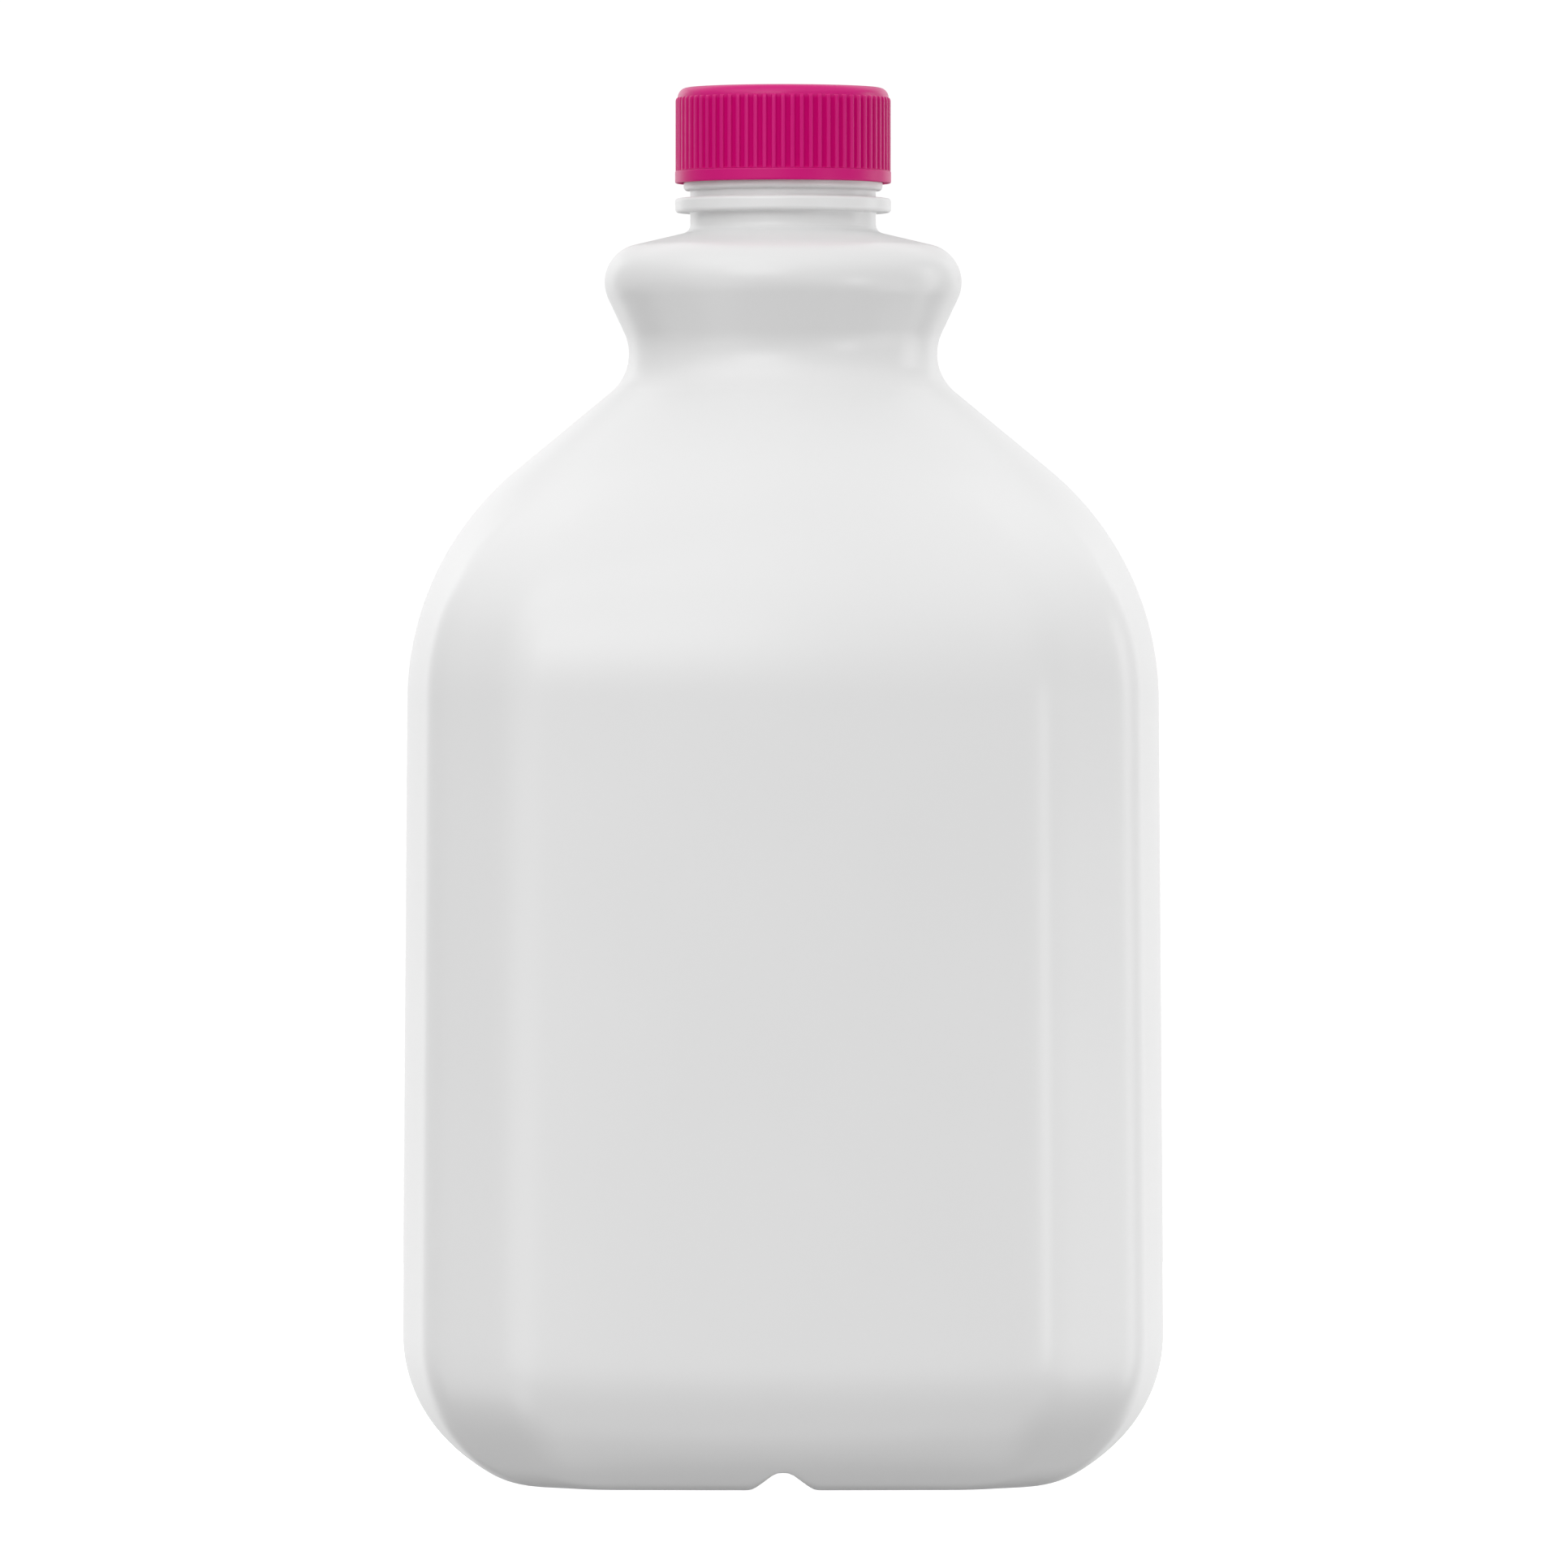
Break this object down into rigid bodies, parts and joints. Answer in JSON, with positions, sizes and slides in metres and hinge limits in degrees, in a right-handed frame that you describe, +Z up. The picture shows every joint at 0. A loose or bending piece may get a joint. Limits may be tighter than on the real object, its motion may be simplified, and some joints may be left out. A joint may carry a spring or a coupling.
{
  "type": "almond milk jug",
  "caption": "Full gallon jug of almond milk: white blow-moulded bottle, nearly square with a domed shoulder and round grip neck, shut by a ribbed magenta screw cap.",
  "frame": {"origin": "middle of the base, on the plane that the jug stands on", "axes": "+Z up along the bottle's axis, -Y towards the front face, +X to the right of the front face"},
  "size_m": [0.1498, 0.1498, 0.2743],
  "materials": {
    "white_hdpe": "satin",
    "magenta_pp": "satin"
  },
  "bodies": {
    "root": {"bottle": "white_hdpe", "cap": "magenta_pp"}
  },
  "joints": []
}
